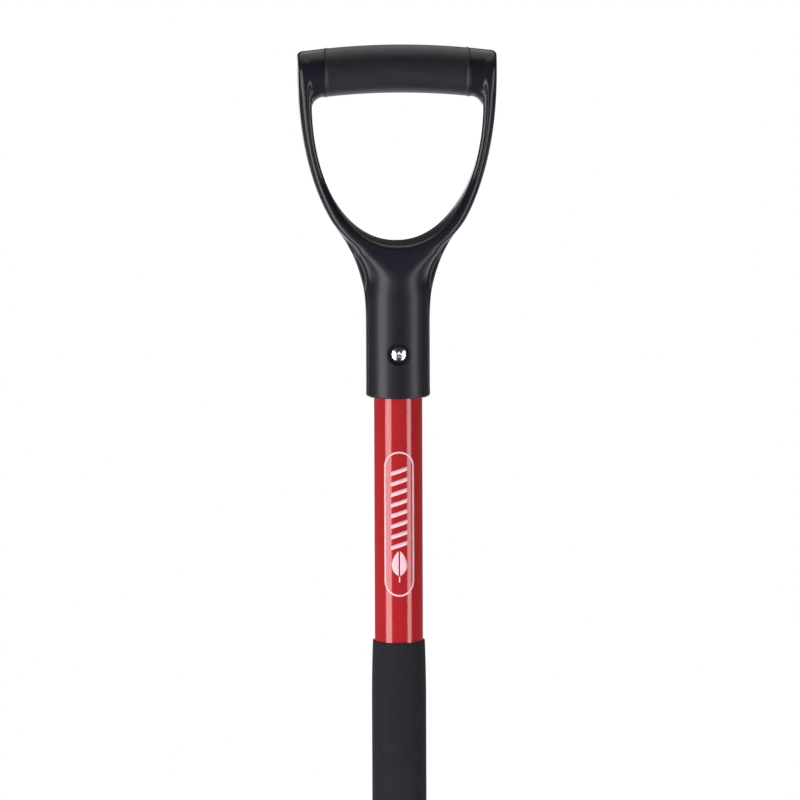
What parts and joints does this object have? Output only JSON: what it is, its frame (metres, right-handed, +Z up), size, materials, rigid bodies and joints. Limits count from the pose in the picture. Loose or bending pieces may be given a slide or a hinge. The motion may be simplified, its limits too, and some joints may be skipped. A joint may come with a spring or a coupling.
{
  "type": "round point shovel",
  "caption": "Digging shovel with a moulded D grip, a coated steel tube shaft with a rubber sleeve, and a riveted, dished round-point steel blade with forward-turned treads.",
  "frame": {"origin": "the middle of the underside of the grip's crossbar, where the tool hangs on a hook or a rail", "axes": "+Z up along the shaft, towards the grip; +X to the right across the grip; -Y towards the front, which is the dished face of the blade and the side of the screw head"},
  "size_m": [0.2168, 0.0871, 1.0402],
  "materials": {
    "grip_plastic": "satin moulded polypropylene",
    "grip_rubber": "matt soft-touch cover",
    "screw_zinc": "bright zinc plate",
    "tube_red": "glossy red powder coat",
    "print_pale": "pale screen print",
    "sleeve_rubber": "matt black sleeve",
    "plug_wood": "bare hardwood",
    "head_steel": "black oven-baked coat, worn at the edge",
    "rivet_steel": "plain steel rivets"
  },
  "bodies": {
    "root": {"grip_frame": "grip_plastic", "grip_cover": "grip_rubber", "grip_screw": "screw_zinc", "grip_washer": "screw_zinc", "grip_nut": "screw_zinc", "shaft_tube": "tube_red", "shaft_print": "print_pale", "mid_grip": "sleeve_rubber", "shaft_dowel": "plug_wood", "socket": "head_steel", "socket_rivets": "rivet_steel", "frog_plate": "head_steel", "blade": "head_steel"}
  },
  "joints": []
}
